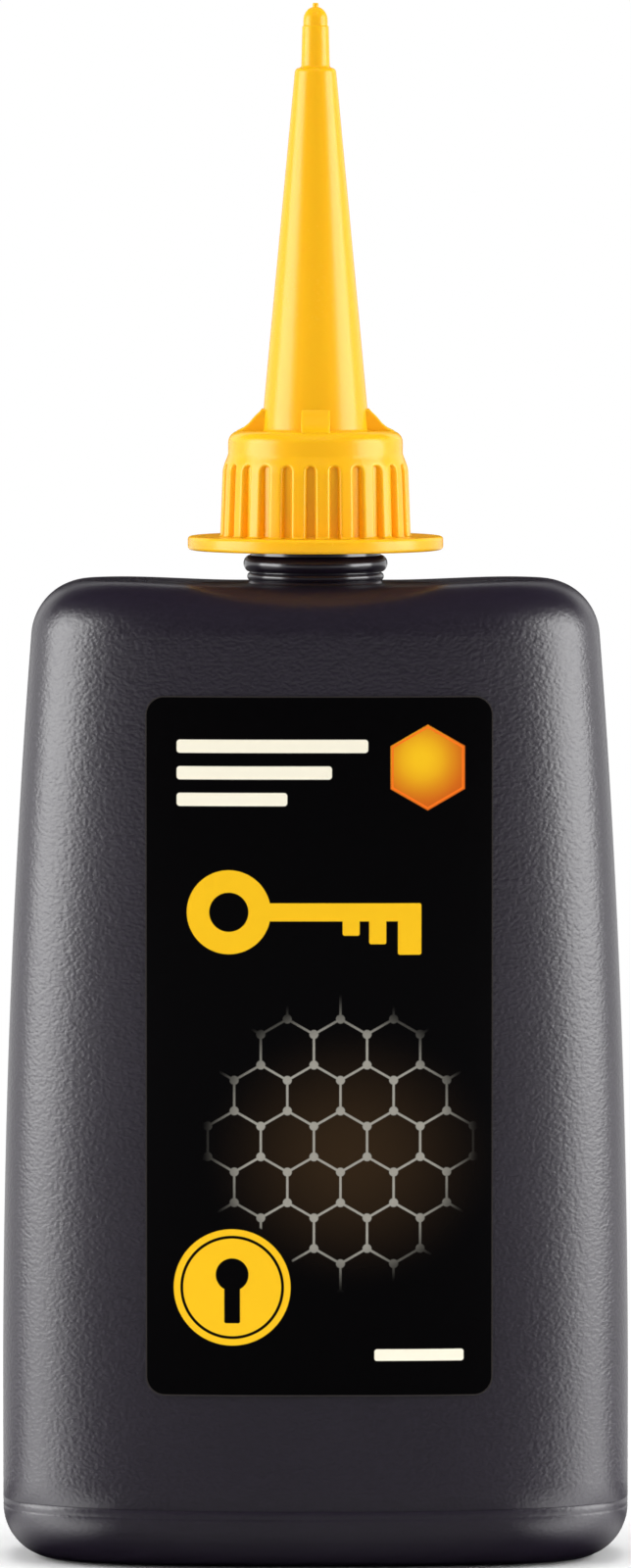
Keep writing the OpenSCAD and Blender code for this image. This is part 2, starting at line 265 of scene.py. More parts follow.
class BottleSizes(bpy.types.PropertyGroup):
    """Sizes that a user would change. The defaults are the CAD model's."""

    body_width: length("Body width", "Width of the body at its base", 59.8 * MM)
    body_depth: length("Body depth", "Depth of the body at its base, front to back", 27.0 * MM)
    body_height: length("Body height", "Height of the body up to the flat of the shoulder", 93.3 * MM)
    taper_width: length("Taper across", "How much narrower the body is at the shoulder", 6.5 * MM)
    taper_depth: length("Taper in depth", "How much thinner the body is at the shoulder", 1.9 * MM)
    taper_start: length("Taper start", "Height at which the sides begin to draw in", 15.0 * MM)
    shoulder_radius: length("Shoulder radius", "Radius of the edge round the shoulder", 5.0 * MM)
    base_height: length("Base rounding height", "Height of the rounding round the base", 5.2 * MM)
    base_width: length("Base rounding width", "Width of the rounding round the base", 5.0 * MM)
    wall: length("Wall", "Thickness of the blown wall", 0.9 * MM)
    neck_height: length("Neck height", "Height of the neck above the shoulder", 12.1 * MM)
    flange_radius: length("Flange radius", "Radius of the grip flange", 12.15 * MM)
    rib_height: length("Rib height", "How far a grip rib stands out from the drum", 0.5 * MM)
    spout_radius: length("Spout radius", "Radius of the spout at its foot", 5.1 * MM)
    spout_top_radius: length("Spout top radius", "Radius of the spout at its upper end", 1.975 * MM)
    label_corner: length("Label corner", "Radius of the labels' corners", 1.8 * MM)


class BottleColours(bpy.types.PropertyGroup):
    """Colours of the plastics, the print, the liner and the powder, in linear values."""

    body: colour("Bottle", "Blue-black blown plastic", (0.0117, 0.0080, 0.0168))
    cap: colour("Cap", "Warm yellow moulded plastic", (0.92, 0.465, 0.007))
    film: colour("Label film", "Black of the printed label", (0.0008, 0.0006, 0.0009))
    yellow: colour("Print yellow", "Yellow of the label's motifs", (0.92, 0.53, 0.012))
    orange: colour("Print orange", "Orange of the label's shaded motif", (0.62, 0.12, 0.008))
    cream: colour("Print cream", "Cream of the label's bars", (0.93, 0.88, 0.72))
    foam: colour("Liner", "Off-white foam of the sealing washer", (0.80, 0.78, 0.72))
    powder: colour("Graphite", "Dark grey of the graphite powder", (0.05, 0.05, 0.055))


# Shapes


def smooth(x):
    """Rises from 0 to 1 as x does: three times its square less twice its cube."""
    x = np.clip(x, 0, 1)
    return x * x * (3 - 2 * x)


def full_turn(columns):
    """Turns of columns at even steps once round the axis."""
    return 2 * math.pi * np.arange(columns) / columns


def arc(mid_r, mid_z, half_r, half_z, start, end, steps):
    """Points on an ellipse: the middle plus the half axes times cosine and sine of the turn."""
    turn = np.radians(np.linspace(start, end, steps))
    return np.stack([mid_r + half_r * np.cos(turn), mid_z + half_z * np.sin(turn)], -1)


def bend(mid_r, mid_z, radius, start, end, steps):
    """Points on a circle: an arc whose half axes are both the radius."""
    return arc(mid_r, mid_z, radius, radius, start, end, steps)


def along(start, end, step):
    """Points along a straight line from end to end, no further apart than a step."""
    return np.linspace(start, end, math.ceil(math.dist(start, end) / step) + 1)


def rim_height(sizes):
    """Height of the neck's rim: the body's and the neck's together."""
    return sizes.body_height + sizes.neck_height


def half_sizes(sizes, z):
    """Half width and half depth at a height: both lose their taper with the square of the
    height above the taper's start."""
    rise = np.clip(z - sizes.taper_start, 0, None) / (sizes.body_height - sizes.taper_start)
    width = sizes.body_width - sizes.taper_width * rise**2
    depth = sizes.body_depth - sizes.taper_depth * rise**2
    return width / 2, depth / 2


def unit_section(turn):
    """Point on the unit superellipse: cosine and sine over the power mean of their sizes."""
    c, s = np.cos(turn), np.sin(turn)
    reach = (np.abs(c) ** SECTION_POWER + np.abs(s) ** SECTION_POWER) ** (-1 / SECTION_POWER)
    return reach * c, reach * s


def body_front(sizes, x, z):
    """Depth of the body's face at x and z: the superellipse solved for its depth."""
    half_w, half_d = half_sizes(sizes, z)
    share = np.clip(np.abs(x) / half_w, 0, 1)
    return half_d * (1 - share**SECTION_POWER) ** (1 / SECTION_POWER)


def thread_start(sizes):
    """Height at which the neck's thread begins: its turns below its upper end."""
    return rim_height(sizes) - THREAD_TOP_GAP - THREAD_PITCH * NECK_TURNS


def thread(turn, z, start, turns, widths):
    """Share of a thread's height at each turn and height: a trapezium across the ridge,
    carried up a helix by one pitch a turn, and faded in and out at its two ends."""
    root, crest = (width * THREAD_PITCH for width in widths)
    turn = np.mod(turn, 2 * math.pi) / (2 * math.pi)
    best = np.zeros(np.broadcast(turn, z).shape)
    for lap in range(-1, math.ceil(turns) + 1):
        share = (turn + lap) / turns
        full = np.clip(np.minimum(share, 1 - share) / THREAD_FADE, 0, 1)
        away = np.abs(z - start - THREAD_PITCH * (turn + lap))
        best = np.maximum(best, full * smooth((root / 2 - away) / ((root - crest) / 2)))
    return best


def turned(path, columns, phase=0.0):
    """Rings of a turned form: each radius of the path carried once round the axis."""
    turn = phase + full_turn(columns)
    r, z = path[:, :1], path[:, 1:]
    return np.stack([r * np.cos(turn), r * np.sin(turn), z + 0 * turn], -1)


def shell(rings, start=None, end=None):
    """Points, face corners and counts of corners over rings of points. Quads join each ring
    to the next, and a fan of triangles closes an end on its pole. The rings run
    anticlockwise seen from above where they climb."""
    rows, columns = rings.shape[:2]
    row, column = np.meshgrid(np.arange(rows - 1) * columns, np.arange(columns), indexing="ij")
    after = (column + 1) % columns
    quads = np.stack([row + column, row + after, row + columns + after, row + columns + column], -1)
    points, corners, counts = [rings.reshape(-1, 3)], [quads.ravel()], [np.full(quads.size // 4, 4)]
    ring = np.arange(columns)
    follow = (ring + 1) % columns
    for pole, base, sides in ((start, 0, (follow, ring)), (end, (rows - 1) * columns, (ring, follow))):
        if pole is None:
            continue
        hub = np.full(columns, rows * columns + len(points) - 1)
        points.append(np.array([pole], float))
        corners.append(np.stack([base + sides[0], base + sides[1], hub], -1).ravel())
        counts.append(np.full(columns, 3))
    return np.concatenate(points), np.concatenate(corners), np.concatenate(counts)


def joined(shells):
    """One shell from several: their points and faces one after another."""
    points, corners, counts = zip(*shells)
    bases = np.cumsum([0, *(len(place) for place in points[:-1])])
    corners = [index + base for index, base in zip(corners, bases)]
    return np.concatenate(points), np.concatenate(corners), np.concatenate(counts)


def fill(name, points, corners, counts):
    """Object at the origin whose mesh has these points, face corners and counts of corners.
    It is shaded smooth, apart from its sharp edges."""
    mesh = bpy.data.meshes.new(name)
    mesh.vertices.add(len(points))
    mesh.vertices.foreach_set("co", points.astype(np.float32).ravel())
    mesh.loops.add(len(corners))
    mesh.loops.foreach_set("vertex_index", corners.astype(np.int32))
    mesh.polygons.add(len(counts))
    mesh.polygons.foreach_set("loop_start", (np.cumsum(counts) - counts).astype(np.int32))
    mesh.polygons.foreach_set("use_smooth", np.ones(len(counts), bool))
    mesh.update(calc_edges=True)
    mesh.set_sharp_from_angle(angle=SHARP_EDGE)
    if mesh.validate(verbose=False):
        raise RuntimeError(f"the mesh of {name} had faults")
    made = bpy.data.objects.new(name, mesh)
    bpy.context.scene.collection.objects.link(made)
    return made


def body_turns():
    """Turns of the body's columns: even steps, with closer ones at both parting lines."""
    even = full_turn(BODY_COLUMNS)
    past = np.mod(even, math.pi)
    clear = np.minimum(past, math.pi - past) > PARTING_CLEAR
    one_side = np.array(PARTING_TURNS)
    close = np.concatenate([-one_side[::-1], [0], one_side])
    return np.sort(np.concatenate([even[clear], np.mod(close, 2 * math.pi), close + math.pi]))


def base_rounding(sizes, wall, floor, steps):
    """Rounding round the base as inset and height: a quarter of an ellipse, from a floor to
    the given depth of wall."""
    width, height = sizes.base_width, sizes.base_height
    return arc(width, height, wall - width, floor - height, 90, 0, steps)


def shoulder_rounding(sizes, wall, steps):
    """Rounding round the shoulder as inset and height: a quarter circle at a depth of wall."""
    edge = sizes.shoulder_radius
    return arc(edge, sizes.body_height - edge, wall - edge, edge - wall, 0, 90, steps)


def mould_line(depth, mid_z, shares):
    """Fine groove round the body as inset and height: a V across shares of its half width."""
    return [(depth * (1 - abs(share)), mid_z + MOULD_LINE_HALF * share) for share in shares]


def skin_path(sizes):
    """Outside of the body as inset and height: the hollow underside, the base's rounding
    with two mould lines above it, the sides and the shoulder's rounding."""
    foot = sizes.base_width + FOOT_WIDTH
    spread = FOOT_HOLLOW * HOLLOW_SPREAD
    side_low, side_high = MOULD_LINE_Z + MOULD_LINE_HALF, sizes.body_height - sizes.shoulder_radius
    return np.concatenate([
        [(foot + spread * (1 - s), FOOT_HOLLOW * (1 - smooth(s))) for s in np.linspace(0, 1, 9)],
        [point for point in base_rounding(sizes, 0, 0, 26) if point[1] < SECOND_LINE_Z - MOULD_LINE_HALF],
        mould_line(SECOND_LINE_DEPTH, SECOND_LINE_Z, (-0.6, 0, 0.6)),
        mould_line(MOULD_LINE_DEPTH, MOULD_LINE_Z, np.linspace(-1, 1, 5)),
        [(0, z) for z in np.linspace(side_low, side_high, 42)[1:-1]],
        shoulder_rounding(sizes, 0, 20),
    ])


def neck_path(sizes):
    """Neck as radius and height: the ring at its root, the bead, the threaded wall, the
    rounded rim, and the bore down into the cavity."""
    top, rim = sizes.body_height, rim_height(sizes)
    ring_mid = top + ROOT_RING_HEIGHT / 2
    bead_mid = top + ROOT_RING_HEIGHT + BEAD_CLEAR + BEAD_HEIGHT / 2
    wall_low = bead_mid + BEAD_HEIGHT / 2 + THREAD_LOW_GAP
    wall_high = rim - RIM_EDGE
    return np.concatenate([
        arc(NECK_RADIUS, ring_mid, ROOT_RING_OUT, ROOT_RING_HEIGHT / 2, -90, 90, 9),
        arc(NECK_RADIUS, bead_mid, BEAD_OUT, BEAD_HEIGHT / 2, -90, 90, 17),
        along((NECK_RADIUS, wall_low), (NECK_RADIUS, wall_high), step=THREAD_ROW),
        bend(NECK_RADIUS - RIM_EDGE, wall_high, RIM_EDGE, 20, 90, 5),
        bend(BORE_RADIUS + RIM_EDGE / 2, rim - RIM_EDGE / 2, RIM_EDGE / 2, 90, 180, 4),
        along((BORE_RADIUS, wall_high), (BORE_RADIUS, top - sizes.wall), step=3 * MM),
    ])


def cavity_path(sizes):
    """Inside of the body as inset and height, from the shoulder down to the floor."""
    wall = sizes.wall
    low, high = (wall, sizes.base_height), (wall, sizes.body_height - sizes.shoulder_radius)
    climb = np.concatenate([
        base_rounding(sizes, wall, FOOT_HOLLOW + wall, 10),
        along(low, high, step=4 * MM)[1:-1],
        shoulder_rounding(sizes, wall, 8),
    ])
    return climb[::-1]


def body_rows(sizes):
    """Rows of the bottle's whole skin, as height, inset from the section, blend to a circle
    and the circle's radius: outside, flat of the shoulder, neck with its bore, cavity."""

    def walls(path):
        return [(z, inset, 0, 0) for inset, z in path]

    def across(z, radius, shares):
        return [(z, sizes.shoulder_radius, share, radius) for share in shares]

    top = sizes.body_height
    onto_neck = across(top, NECK_RADIUS + ROOT_RING_FOOT, np.linspace(0, 1, 13)[1:])
    neck = [(z, 0, 1, radius) for radius, z in neck_path(sizes)]
    off_bore = across(top - sizes.wall, BORE_RADIUS, (0.85, 0.5, 0.2))
    return np.array(walls(skin_path(sizes)) + onto_neck + neck + off_bore + walls(cavity_path(sizes)))


def body_rings(sizes):
    """Rings of the bottle. Each point blends from the section drawn in by the row's inset to
    a circle. The shoulder sags a little from its ends to the neck, the neck carries its
    thread, and a fine parting ridge runs round the outside where the mould halves met."""
    rows, turn = body_rows(sizes), body_turns()
    z, inset, blend, radius = (rows[:, k:k + 1] for k in range(4))
    half_w, half_d = half_sizes(sizes, z)
    ux, uy = unit_section(turn)
    top = sizes.body_height
    on_neck = (blend == 1) & (radius == NECK_RADIUS) & (z > top + ROOT_RING_HEIGHT + BEAD_HEIGHT)
    ridge = thread(turn, z, thread_start(sizes), NECK_TURNS, NECK_THREAD_WIDTHS)
    radius = radius + THREAD_HEIGHT * ridge * on_neck
    x = (1 - blend) * (half_w - inset) * ux + blend * radius * np.cos(turn)
    y = (1 - blend) * (half_d - inset) * uy + blend * radius * np.sin(turn)
    order, neck_row = np.arange(len(rows))[:, None], np.argmax(blend[:, 0] == 1)
    lift = SHOULDER_RISE - SHOULDER_SAG * smooth((SAG_START - np.abs(x)) / SAG_REACH)
    lift = lift * smooth(1 - (top - z) / sizes.shoulder_radius) * (order <= neck_row)
    rings = np.stack([x, y, z + lift], -1)
    normal = np.cross(np.gradient(rings, axis=1), np.gradient(rings, axis=0))
    normal /= np.linalg.norm(normal, axis=2, keepdims=True) + 1e-12
    crest = smooth(1 - np.abs(y) / PARTING_HALF) - smooth(1 - np.abs(y) / PARTING_REACH)
    outside = (order < neck_row) & (z > 0)
    return rings + normal * (PARTING_RISE * crest * outside)[..., None]


def make_bottle(sizes):
    """Bottle: its rings joined, closed on the underside's middle and the cavity floor's."""
    under, floor = (0, 0, FOOT_HOLLOW), (0, 0, FOOT_HOLLOW + sizes.wall)
    return fill("bottle_shell", *shell(body_rings(sizes), under, floor))


def cap_roof(sizes):
    """Height of the underside of the cap's top: the washer's thickness above the rim."""
    return rim_height(sizes) + WASHER_THICKNESS


def cap_flat(sizes):
    """Height of the flat round the spout: the cap's top above its underside."""
    return cap_roof(sizes) + CAP_TOP


def rib_relief(turn, z, sizes):
    """How far the drum's skin stands out between and on the ribs: it swells below their
    upper ends by a power of a sine wave, and is cut back to the drum along grooves with round
    upper ends, whose sides roll over into the crests by a quarter of a superellipse."""
    step = 2 * math.pi / RIB_COUNT
    away = np.abs(np.mod(turn - RIB_TURN, step) - step / 2) * DRUM_RADIUS
    upper = cap_flat(sizes) - RIB_DROP
    past = np.clip(z - (upper - GROOVE_DROP - GROOVE_HALF), 0, None)
    side = np.clip((np.hypot(away, past) - GROOVE_HALF) / GROOVE_ROUND, 0, 1)
    share = np.clip((upper - z) / (upper - FLANGE_TOP), 0, 1)
    swell = np.sin(np.clip((upper - z) / RIB_SWELL, 0, 1) * math.pi / 2) ** RIB_SWELL_POWER
    skin = sizes.rib_height * swell + RIB_DRAFT * share
    return skin * np.sqrt(1 - (1 - side) ** GROOVE_POWER)


def cap_inside(sizes):
    """Inside of the cap as radius and height: from the closed end of its channel down under
    the roof, down the skirt and out over the mouth's face to the flange's edge."""
    roof, tip = cap_roof(sizes), TIP_RADIUS - TIP_WALL
    channel_top = (sizes.spout_top_radius - SPOUT_TOP_WALL, SPOUT_TOP - SPOUT_TOP_WALL)
    channel_low = (sizes.spout_radius - SPOUT_WALL, roof)
    skirt_top, skirt_low = (CAP_INNER, roof - 1.75 * ROOF_FILLET), (CAP_INNER, CAP_LOW + MOUTH_CHAMFER)
    mouth = (CAP_INNER + 1.2 * MM, CAP_LOW)
    return np.concatenate([
        [(tip, TIP_END), (tip, SPOUT_TOP)],
        along(channel_top, channel_low, step=12 * MM),
        [(CAP_INNER - 1.5 * ROOF_FILLET, roof)],
        bend(CAP_INNER - ROOF_FILLET, roof - ROOF_FILLET, ROOF_FILLET, 60, 0, 3),
        along(skirt_top, skirt_low, step=0.2 * MM),
        [(CAP_INNER + MOUTH_CHAMFER, CAP_LOW)],
        along(mouth, (sizes.flange_radius - FLANGE_EDGE, CAP_LOW), step=3 * MM)[:-1],
    ])


def flange_path(sizes):
    """Flange as radius and height: its lower and upper edges, its top and the fillet at the
    drum's foot."""
    edge, foot = sizes.flange_radius - FLANGE_EDGE, DRUM_RADIUS + DRUM_DRAFT
    return np.concatenate([
        bend(edge, CAP_LOW + FLANGE_EDGE, FLANGE_EDGE, -90, 0, 6),
        bend(edge, FLANGE_TOP - FLANGE_EDGE, FLANGE_EDGE, 0, 90, 6),
        [(sizes.flange_radius - FLANGE_ROW, FLANGE_TOP)],
        [(foot + 1.3 * MM, FLANGE_TOP), (foot + 0.95 * MM, FLANGE_TOP)],
        bend(foot + FOOT_FILLET, FLANGE_TOP + FOOT_FILLET, FOOT_FILLET, 270, 180, 5),
    ])


def drum_path(sizes):
    """Drum as radius and height: its drafted side, the close rows at the ribs' upper ends,
    and the rounded edge up to the flat."""
    flat, foot = cap_flat(sizes), (DRUM_RADIUS + DRUM_DRAFT, FLANGE_TOP + 1.2 * FOOT_FILLET)
    rib_end, swell_low = flat - RIB_DROP, flat - RIB_DROP - RIB_SWELL
    return np.concatenate([
        along(foot, (DRUM_RADIUS, swell_low - 0.1 * MM), step=1.1 * MM),
        along((DRUM_RADIUS, swell_low), (DRUM_RADIUS, rib_end), step=0.085 * MM),
        bend(DRUM_RADIUS - DRUM_EDGE, flat - DRUM_EDGE, DRUM_EDGE, 0, 90, 10),
    ])


def spout_path(sizes):
    """Spout and tip as radius and height: the fillet at its foot, its cone and upper edge,
    the tip with its small step and dome, and the nub."""
    flat, top_radius = cap_flat(sizes), sizes.spout_top_radius
    foot = (sizes.spout_radius * SPOUT_FOOT_SHARE, flat + SPOUT_FOOT_RISE)
    narrow = TIP_RADIUS - TIP_DRAFT
    dome = narrow - TIP_STEP
    dome_end = math.degrees(math.acos(NUB_RADIUS / dome))
    return np.concatenate([
        bend(sizes.spout_radius + FOOT_FILLET, flat + FOOT_FILLET, FOOT_FILLET, 270, 185, 5),
        along(foot, (top_radius, SPOUT_TOP - SPOUT_EDGE), step=4 * MM),
        bend(top_radius - SPOUT_EDGE, SPOUT_TOP - SPOUT_EDGE, SPOUT_EDGE, 10, 90, 7),
        bend(TIP_RADIUS + TIP_FILLET, SPOUT_TOP + TIP_FILLET, TIP_FILLET, 270, 180, 4),
        along((TIP_RADIUS, SPOUT_TOP + 1.3 * TIP_FILLET), (narrow, TIP_STEP_Z - 0.06 * MM), step=1 * MM),
        [(narrow - 0.03 * MM, TIP_STEP_Z), (dome, TIP_STEP_Z + 0.04 * MM)],
        arc(0, CAP_HIGH - NUB_RISE - DOME_HEIGHT, dome, DOME_HEIGHT, 0, dome_end, 9),
        bend(NUB_RADIUS - NUB_EDGE, CAP_HIGH - NUB_EDGE, NUB_EDGE, 0, 90, 4),
    ])


def gusset(sizes, turn):
    """Gusset on the flat round the spout: a cross-section with rounded upper edges, carried
    outwards along its sloping back, then turned to its place round the axis."""
    reach = np.linspace(0, 1, 19)
    way = DRUM_RADIUS - GUSSET_INSET - sizes.spout_radius
    out = np.concatenate([[sizes.spout_radius - GUSSET_ROOT], sizes.spout_radius + way * reach])[:, None]
    back = GUSSET_HEIGHT * np.interp(reach, *np.transpose(GUSSET_SHARES))
    back = np.concatenate([[GUSSET_HEIGHT], back])[:, None]
    half = GUSSET_WIDTH / 2
    edge = arc(half - GUSSET_EDGE, GUSSET_EDGE, GUSSET_EDGE, -GUSSET_EDGE, 0, 90, 6)
    section = np.concatenate([[(half, 0)], edge, [(0.4 * half, 0), (0, 0)]])
    across, fall = np.concatenate([section, section[-2::-1] * (-1, 1)]).T
    height = np.maximum(back - fall, -0.9 * GUSSET_SUNK)
    height[:, [0, -1]] = -GUSSET_SUNK
    c, s = math.cos(turn), math.sin(turn)
    rings = np.stack([out * c - across * s, out * s + across * c, cap_flat(sizes) + height], -1)
    return shell(rings, rings[0].mean(0), rings[-1].mean(0))


def make_cap(sizes):
    """Spout cap: its outline carried round the axis, with ribs on the drum, a thread inside
    the skirt and four gussets at the spout's foot."""
    inside = cap_inside(sizes)
    path = np.concatenate([inside, flange_path(sizes), drum_path(sizes), spout_path(sizes)])
    rings = turned(path, CAP_COLUMNS, phase=RIB_TURN - math.pi / 2)
    turn = RIB_TURN + full_turn(CAP_COLUMNS)
    r, z = path[:, :1], path[:, 1:]
    within = (np.arange(len(path)) < len(inside))[:, None]
    drum_low, drum_high = DRUM_RADIUS - 0.001 * MM, DRUM_RADIUS + DRUM_DRAFT + 0.5 * MM
    on_drum = ~within & (r > drum_low) & (r < drum_high) & (z > FLANGE_TOP)
    in_skirt = within & (np.abs(r - CAP_INNER) < 0.001 * MM)
    start = thread_start(sizes) - THREAD_PITCH / 2
    ridge = thread(turn - math.pi / 2, z, start, CAP_TURNS, CAP_THREAD_WIDTHS)
    out = rib_relief(turn, z, sizes) * on_drum - THREAD_HEIGHT * in_skirt * ridge
    rings[..., :2] *= ((r + out) / r)[..., None]
    gussets = [gusset(sizes, math.pi / 2 * k) for k in range(4)]
    return fill("spout_cap_shell", *joined([shell(rings, (0, 0, TIP_END), (0, 0, CAP_HIGH)), *gussets]))


def make_washer(sizes):
    """Sealing washer: a flat ring with softly rounded edges, turned about the axis."""
    low, high = rim_height(sizes), cap_roof(sizes)
    inner, outer, soft = BORE_RADIUS - WASHER_CLEAR, CAP_INNER - WASHER_CLEAR, WASHER_EDGE
    path = np.concatenate([
        bend(inner + soft, high - soft, soft, 90, 180, 5),
        bend(inner + soft, low + soft, soft, 180, 270, 5),
        along((inner + 2 * soft, low), (outer - 2 * soft, low), step=0.5 * MM),
        bend(outer - soft, low + soft, soft, -90, 0, 5),
        bend(outer - soft, high - soft, soft, 0, 90, 5),
        along((outer - 2 * soft, high), (inner + 2 * soft, high), step=0.5 * MM),
    ])
    rings = turned(path, 160)
    return fill("foam_washer", *shell(np.concatenate([rings, rings[:1]])))


def make_label(name, sizes, box, side):
    """Label: two sheets a film's thickness apart that follow the body's face, with the
    half width drawn in at each corner along a quarter circle. side is -1 in front, 1 behind."""
    low, high = box
    middle, half, height = (low.x + high.x) / 2, (high.x - low.x) / 2, high.z - low.z
    corner = sizes.label_corner
    outline = np.concatenate([
        bend(half - corner, corner, corner, -90, 0, 14),
        [(half, rise) for rise in np.linspace(corner, height - corner, 62)[1:-1]],
        bend(half - corner, height - corner, corner, 0, 90, 14),
    ])
    x = middle + outline[:, :1] * np.linspace(-1, 1, 65)
    z = low.z + outline[:, 1:]
    depth = body_front(sizes, x, z) + LABEL_GAP
    outer = np.stack([x, -(depth + LABEL_FILM), z + 0 * x], -1)
    inner = np.stack([x, -depth, z + 0 * x], -1)[:, ::-1]
    rings = np.concatenate([outer, inner], 1)
    if side > 0:
        rings[..., :2] *= -1
    points, corners, _ = shell(rings)
    rows, columns = rings.shape[:2]
    strip = np.arange(columns // 2 - 1)
    bottom = np.stack([strip, columns - 1 - strip, columns - 2 - strip, strip + 1], -1)
    top = (rows - 1) * columns + bottom[:, [0, 3, 2, 1]]
    corners = np.concatenate([corners, bottom.ravel(), top.ravel()])
    return fill(name, points, corners, np.full(len(corners) // 4, 4))


def make_powder(sizes):
    """Powder: the cavity's section drawn in by a gap, up to its level, with low mounds on
    top given by a few crossed sine waves."""
    depth = sizes.wall + POWDER_GAP
    path = np.concatenate([
        base_rounding(sizes, depth, POWDER_LOW, 12),
        [(depth, z) for z in np.linspace(sizes.base_height, POWDER_SHORE, 25)[1:]],
    ])
    inset, z = path[:, :1], path[:, 1:]
    half_w, half_d = half_sizes(sizes, z)
    ux, uy = unit_section(full_turn(128))
    wall = np.stack([(half_w - inset) * ux, (half_d - inset) * uy, z + 0 * ux], -1)
    share = np.linspace(0.985, 0.04, 26)[:, None]
    x, y = share * wall[-1, :, 0], share * wall[-1, :, 1]
    u, v = x / MM, y / MM
    heap = 0.6 + 0.22 * np.sin(u * 0.41 + 0.7) * np.cos(v * 0.63) + 0.16 * np.sin(u * 0.97 + v * 0.8)
    top = np.stack([x, y, POWDER_SHORE + POWDER_HEAP * heap * smooth((1 - share) * 6)], -1)
    rings = np.concatenate([wall, top])
    return fill("powder_fill", *shell(rings, (0, 0, POWDER_LOW), top[-1].mean(0)))


# Finishes


def maths(operation, swapped=False):
    """Method that adds a Math node for a level and what it is called with, in that order or
    the other way round."""

    def method(self, *others):
        values = (*others, self) if swapped else (self, *others)
        return self.nodes.node("ShaderNodeMath", {"operation": operation}, dict(enumerate(values)))

    return method


class Level:
    """A number that varies over a surface. Sums on it add Math nodes to its tree."""

    def __init__(self, nodes, socket):
        self.nodes, self.socket = nodes, socket

    __add__, __radd__ = maths("ADD"), maths("ADD", swapped=True)
    __sub__, __rsub__ = maths("SUBTRACT"), maths("SUBTRACT", swapped=True)
    __mul__, __rmul__ = maths("MULTIPLY"), maths("MULTIPLY", swapped=True)
    __truediv__ = maths("DIVIDE")
    __pow__ = maths("POWER")
    __abs__ = maths("ABSOLUTE")
    sqrt = maths("SQRT")
    part = maths("FRACT")
    least = maths("MINIMUM")
    most = maths("MAXIMUM")
    over = maths("GREATER_THAN")

    def ramp(self, low, high):
        """0 below low and 1 above high, with a smooth rise between; falls if low is higher."""
        start, end = (0, 1) if low < high else (1, 0)
        values = {"Value": self, "From Min": min(low, high), "From Max": max(low, high),
                  "To Min": start, "To Max": end}
        return self.nodes.node("ShaderNodeMapRange", {"interpolation_type": "SMOOTHSTEP"}, values)


class Nodes:
    """A node tree that levels are worked out in."""

    def __init__(self, tree):
        self.tree = tree

    def node(self, kind, settings=None, values=None, out=0):
        """One output of a new node, after its settings and then its sockets are set."""
        made = self.tree.nodes.new(kind)
        for key, value in (settings or {}).items():
            setattr(made, key, value)
        for key, value in (values or {}).items():
            self.plug(made.inputs[key], value)
        return Level(self, made.outputs[out])

    def plug(self, socket, value):
        """Links a socket to a level or to another socket, or gives it a constant."""
        if isinstance(value, Level):
            value = value.socket
        if isinstance(value, bpy.types.NodeSocket):
            self.tree.links.new(value, socket)
        elif socket.type == "RGBA":
            socket.default_value = (*value[:3], 1.0)
        else:
            socket.default_value = value


class Finish(Nodes):
    """A material under construction round one Principled shader. Constants go straight onto
    the shader's sockets, and only what varies over the surface is linked."""

    def __init__(self, name, **constants):
        self.material = bpy.data.materials.new(name)
        self.material.use_nodes = True
        super().__init__(self.material.node_tree)
        self.shader = self.tree.nodes["Principled BSDF"]
        self.set(**constants)
        self.place = self.node("ShaderNodeTexCoord", out="Object")

    def set(self, **values):
        """Sets or links the shader's sockets, named with _ for each space."""
        for socket, value in values.items():
            self.plug(self.shader.inputs[socket.replace("_", " ")], value)

    def show(self, shader):
        """Makes another shader than the Principled one the material's surface."""
        self.plug(self.tree.nodes["Material Output"].inputs["Surface"], shader)

    def axes(self):
        """X, Y and Z of the surface in millimetres."""
        split = self.node("ShaderNodeSeparateXYZ", values={0: self.place}).socket.node
        return [Level(self, socket) * (1 / MM) for socket in split.outputs]

    def noise(self, scale, detail=2.0, roughness=0.5, distortion=0.0, stretch=(1, 1, 1)):
        """Cloudy noise, from 0 to 1."""
        place = self.node("ShaderNodeMapping", values={"Vector": self.place, "Scale": stretch})
        values = {"Vector": place, "Scale": scale, "Detail": detail, "Roughness": roughness,
                  "Distortion": distortion}
        return self.node("ShaderNodeTexNoise", values=values)

    def cells(self, scale):
        """Distance to the middle of the nearest of many packed cells."""
        values = {"Vector": self.place, "Scale": scale, "Smoothness": 0.6}
        return self.node("ShaderNodeTexVoronoi", {"feature": "SMOOTH_F1"}, values)

    def mix(self, share, a, b):
        """Blend of two colours, from a at share 0 to b at share 1."""
        return self.node("ShaderNodeMix", {"data_type": "RGBA"}, {0: share, 6: a, 7: b}, out=2)

    def bump(self, height, distance, strength):
        """Normal of a surface that is raised by a height times a distance."""
        values = {"Height": height, "Distance": distance, "Strength": strength}
        return self.node("ShaderNodeBump", values=values)


def tint(shade, factor):
    """A colour made lighter or darker: its parts times a factor, up to 1."""
    return tuple(min(1.0, part * factor) for part in shade)


